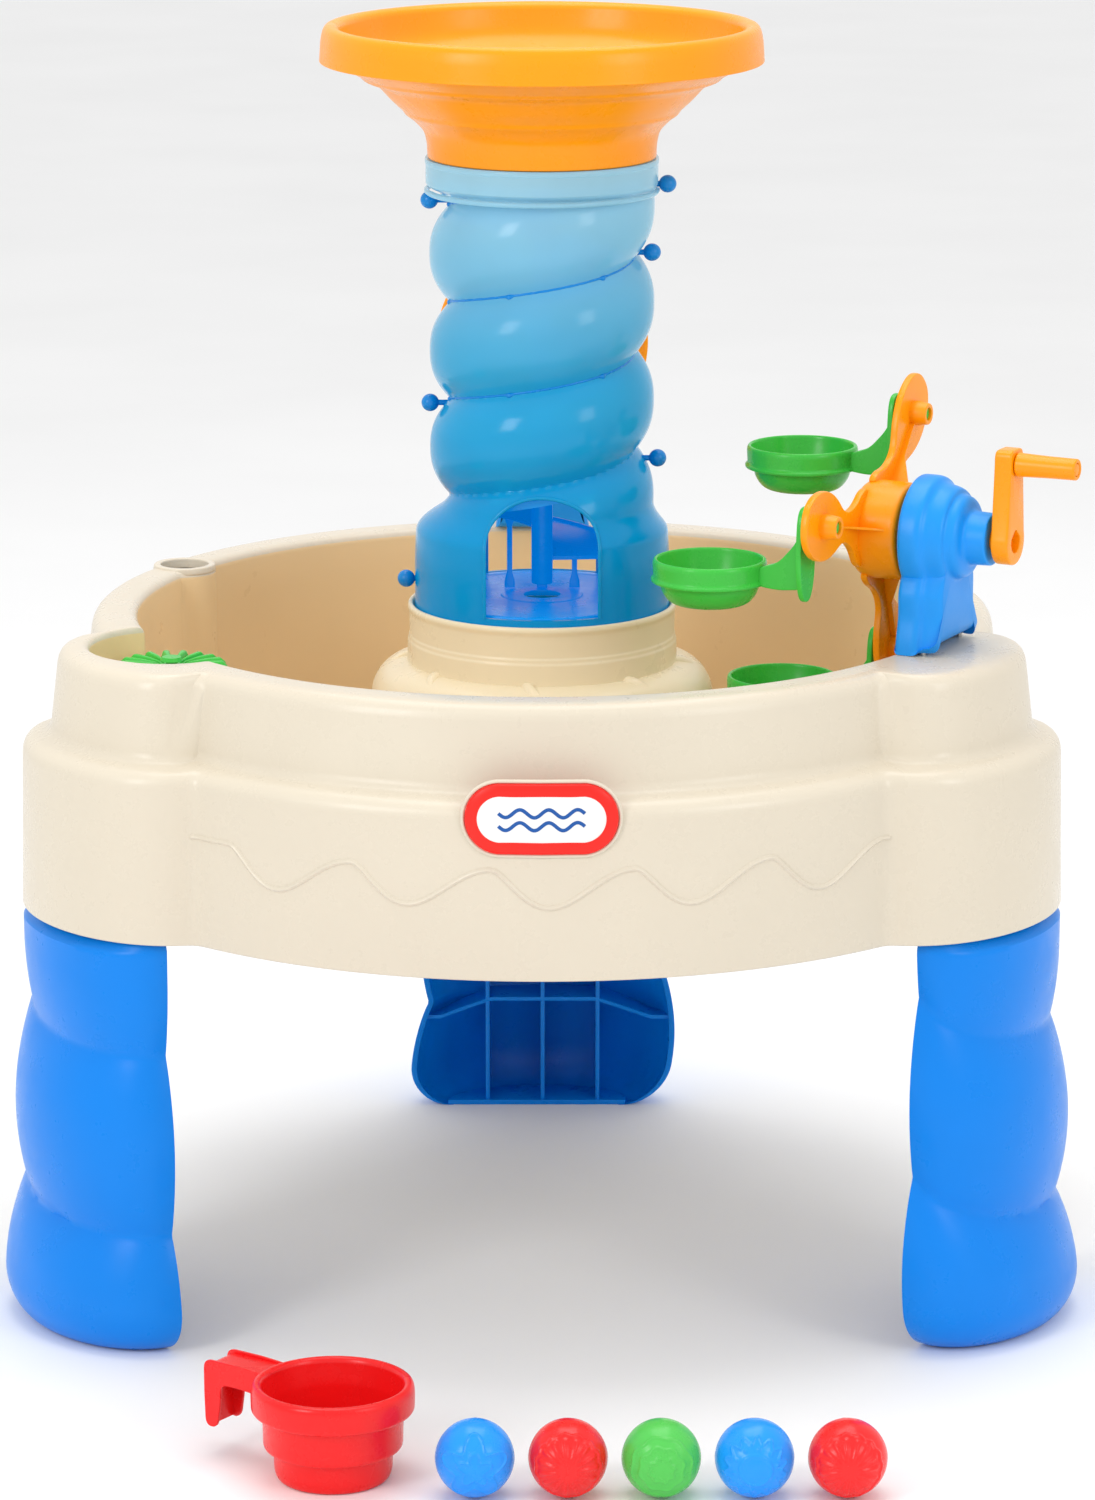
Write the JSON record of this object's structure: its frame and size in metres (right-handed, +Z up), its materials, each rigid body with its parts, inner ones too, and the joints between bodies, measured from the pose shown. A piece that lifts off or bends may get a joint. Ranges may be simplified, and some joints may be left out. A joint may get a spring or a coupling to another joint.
{
  "type": "sand and water table",
  "caption": "Three-legged lobed play table with a deep basin, a turning spiral tower with funnel, a crank wheel with tipping cups, a rear paddle wheel, a scoop and play balls.",
  "frame": {"origin": "on the floor, below the middle of the whole set's box", "axes": "+Z up, -Y towards the front with the arched door, the badge and the loose pieces, +X towards the crank wheel's side"},
  "size_m": [0.8004, 0.9946, 0.9365],
  "materials": {
    "cream": "fine satin moulding",
    "pale_cream": "fine satin moulding",
    "blue": "satin blow moulding",
    "light_blue": "smooth moulding",
    "clear_blue": "translucent tinted plastic",
    "dark_blue": "smooth moulding",
    "orange": "smooth moulding",
    "green": "smooth moulding",
    "red": "smooth moulding",
    "white": "satin moulding",
    "ball_blue": "soft vinyl",
    "ball_red": "soft vinyl",
    "ball_green": "soft vinyl",
    "steel": "zinc plated"
  },
  "bodies": {
    "table": {"tub": "cream", "badge_plate": "white", "leg_front_left": "blue", "leg_front_right": "blue", "leg_rear": "blue", "pivot_bolt": "steel", "pivot_cap": "steel", "wheel_bracket": "light_blue", "wheel_bracket_screw_1": "steel", "wheel_bracket_screw_2": "steel", "rear_bracket": "light_blue", "rear_bracket_screw_1": "steel", "rear_bracket_screw_2": "steel", "rear_axle": "white", "spinner_pin": "green"},
    "turret": {"stirrer_base": "pale_cream", "tower_front": "clear_blue", "tower_rear": "clear_blue", "tower_floor": "dark_blue", "spiral_ramp": "dark_blue", "funnel": "orange", "snap_stud_1": "light_blue", "snap_stud_2": "light_blue", "snap_stud_3": "light_blue", "snap_stud_4": "light_blue", "snap_stud_5": "light_blue", "snap_stud_6": "light_blue"},
    "crank_wheel": {"wheel_spider": "orange", "wheel_axle": "orange", "crank_arm": "orange"},
    "grip": {"crank_grip": "orange"},
    "tipping_cup_1": {"cup_1": "green"},
    "tipping_cup_2": {"cup_2": "green"},
    "tipping_cup_3": {"cup_3": "green"},
    "rear_paddle": {"rear_wheel": "orange"},
    "spinner": {"pocket_spinner": "green"},
    "plug": {"drain_plug": "white"},
    "scoop": {"scoop_cup": "red"},
    "play_ball_1": {"ball_1": "ball_blue"},
    "play_ball_2": {"ball_2": "ball_red"},
    "play_ball_3": {"ball_3": "ball_green"},
    "play_ball_4": {"ball_4": "ball_blue"},
    "play_ball_5": {"ball_5": "ball_red"}
  },
  "joints": [
    {"name": "turret_spin", "type": "hinge", "parent": "table", "child": "turret", "pos_m": [0, 0.08485, 0.4877], "axis": [0, 0, 1], "continuous": true},
    {"name": "wheel_spin", "type": "hinge", "parent": "table", "child": "crank_wheel", "pos_m": [0.24342, -0.03652, 0.5825], "axis": [0.8949, -0.4462, 0], "continuous": true},
    {"name": "grip_spin", "type": "hinge", "parent": "crank_wheel", "child": "grip", "pos_m": [0.3356, -0.08247, 0.639], "axis": [0.8949, -0.4462, 0], "continuous": true},
    {"name": "cup_1_swing", "type": "hinge", "parent": "crank_wheel", "child": "tipping_cup_1", "pos_m": [0.27243, 0.02167, 0.65756], "axis": [0.8949, -0.4462, 0], "continuous": true},
    {"name": "cup_2_swing", "type": "hinge", "parent": "crank_wheel", "child": "tipping_cup_2", "pos_m": [0.19991, -0.12378, 0.60128], "axis": [0.8949, -0.4462, 0], "continuous": true},
    {"name": "cup_3_swing", "type": "hinge", "parent": "crank_wheel", "child": "tipping_cup_3", "pos_m": [0.25792, -0.00744, 0.48867], "axis": [0.8949, -0.4462, 0], "continuous": true},
    {"name": "rear_wheel_spin", "type": "hinge", "parent": "table", "child": "rear_paddle", "pos_m": [0, 0.35685, 0.655], "axis": [0, 1, 0], "continuous": true},
    {"name": "spinner_spin", "type": "hinge", "parent": "table", "child": "spinner", "pos_m": [-0.27078, -0.0443, 0.4735], "axis": [0, 0, 1], "continuous": true},
    {"name": "plug_pull", "type": "slide", "parent": "table", "child": "plug", "axis": [0, 0, 1], "range_m": [0, 0.03]},
    {"name": "scoop_lift", "type": "slide", "parent": "table", "child": "scoop", "axis": [0, 0, 1], "range_m": [0, 0.15]},
    {"name": "ball_1_lift", "type": "slide", "parent": "table", "child": "play_ball_1", "axis": [0, 0, 1], "range_m": [0, 0.15]},
    {"name": "ball_2_lift", "type": "slide", "parent": "table", "child": "play_ball_2", "axis": [0, 0, 1], "range_m": [0, 0.15]},
    {"name": "ball_3_lift", "type": "slide", "parent": "table", "child": "play_ball_3", "axis": [0, 0, 1], "range_m": [0, 0.15]},
    {"name": "ball_4_lift", "type": "slide", "parent": "table", "child": "play_ball_4", "axis": [0, 0, 1], "range_m": [0, 0.15]},
    {"name": "ball_5_lift", "type": "slide", "parent": "table", "child": "play_ball_5", "axis": [0, 0, 1], "range_m": [0, 0.15]}
  ],
  "couplings": [
    {"joint": "cup_1_swing", "follows": "wheel_spin", "ratio": -1},
    {"joint": "cup_2_swing", "follows": "wheel_spin", "ratio": -1},
    {"joint": "cup_3_swing", "follows": "wheel_spin", "ratio": -1}
  ]
}
